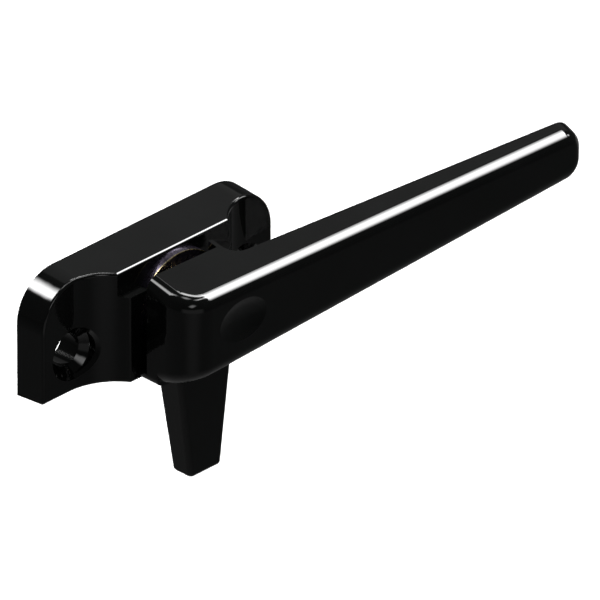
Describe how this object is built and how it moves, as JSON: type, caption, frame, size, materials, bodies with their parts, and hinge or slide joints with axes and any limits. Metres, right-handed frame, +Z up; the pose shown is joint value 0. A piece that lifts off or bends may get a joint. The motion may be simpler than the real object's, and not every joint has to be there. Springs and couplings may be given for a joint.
{
  "type": "cockspur window handle",
  "caption": "Gloss black cockspur casement window handle: die-cast base plate with countersunk fixing holes, tapered lever with a downward spur that turns on a pivot pin.",
  "frame": {"origin": "midway between the two fixing holes, in the plane of the mounting face", "axes": "+X along the base towards the lever's tip, +Y into the window frame, +Z up, away from the spur"},
  "size_m": [0.1238, 0.0262, 0.0453],
  "materials": {
    "black_coat": "gloss black coat",
    "steel": "bright steel",
    "passivated_steel": "yellow passivated steel"
  },
  "bodies": {
    "base_body": {"base": "black_coat", "back_washer": "steel", "friction_washer": "passivated_steel"},
    "lever_body": {"lever": "black_coat", "pivot_pin": "steel", "spring_washer": "passivated_steel"}
  },
  "joints": [
    {"name": "lever_turn", "type": "hinge", "parent": "base_body", "child": "lever_body", "pos_m": [0, 0, 0.0043], "axis": [0, -1, 0], "range_deg": [0, 90]}
  ]
}
